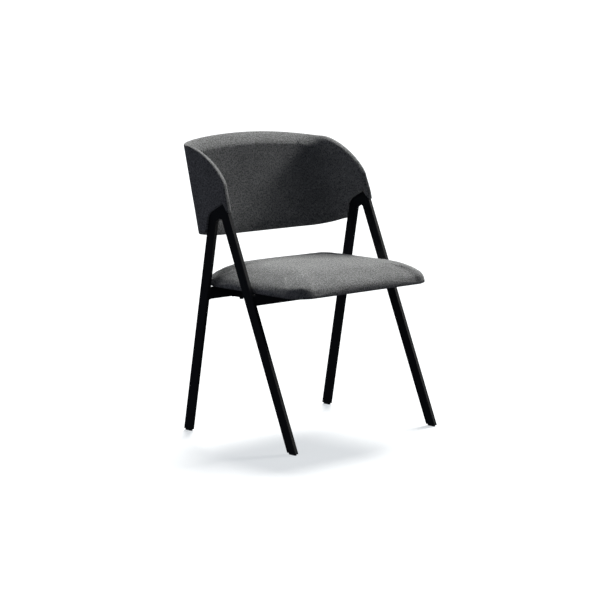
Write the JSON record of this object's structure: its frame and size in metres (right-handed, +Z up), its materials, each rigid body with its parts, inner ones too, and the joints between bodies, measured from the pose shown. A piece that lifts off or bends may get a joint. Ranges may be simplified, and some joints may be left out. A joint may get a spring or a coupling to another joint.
{
  "type": "dining chair",
  "caption": "Upholstered dining chair: wrap-around back shell and domed seat on flat-bar steel A-frame sides joined by a tube subframe.",
  "frame": {"origin": "on the floor, under the middle of the chair's overall box", "axes": "+Z up, the sitter faces -Y, +X is the sitter's left, and X = 0 is the plane of symmetry"},
  "size_m": [0.5482, 0.5022, 0.8],
  "materials": {
    "black_powder_coat": "satin powder coat",
    "glide_plastic": "matte",
    "plywood": "sanded",
    "foam": "moulded foam",
    "seat_fabric": "melange weave",
    "back_fabric": "melange weave",
    "dust_cloth": "non-woven cloth",
    "zinc_steel": "zinc plated"
  },
  "bodies": {
    "root": {"left_front_leg": "black_powder_coat", "right_front_leg": "black_powder_coat", "left_rear_leg": "black_powder_coat", "right_rear_leg": "black_powder_coat", "front_crossbar": "black_powder_coat", "rear_crossbar": "black_powder_coat", "left_side_rail": "black_powder_coat", "right_side_rail": "black_powder_coat", "left_shell_tab": "black_powder_coat", "right_shell_tab": "black_powder_coat", "left_front_glide": "glide_plastic", "right_front_glide": "glide_plastic", "left_rear_glide": "glide_plastic", "right_rear_glide": "glide_plastic", "seat_board": "plywood", "seat_foam": "foam", "seat_cover": "seat_fabric", "seat_dust_cover": "dust_cloth", "dust_cover_staples": "zinc_steel", "seat_tee_nuts": "zinc_steel", "seat_screws": "zinc_steel", "seat_washers": "zinc_steel", "back_board": "plywood", "back_inner_foam": "foam", "back_outer_foam": "foam", "back_inner_cover": "back_fabric", "back_outer_cover": "back_fabric", "shell_screws": "zinc_steel"}
  },
  "joints": []
}
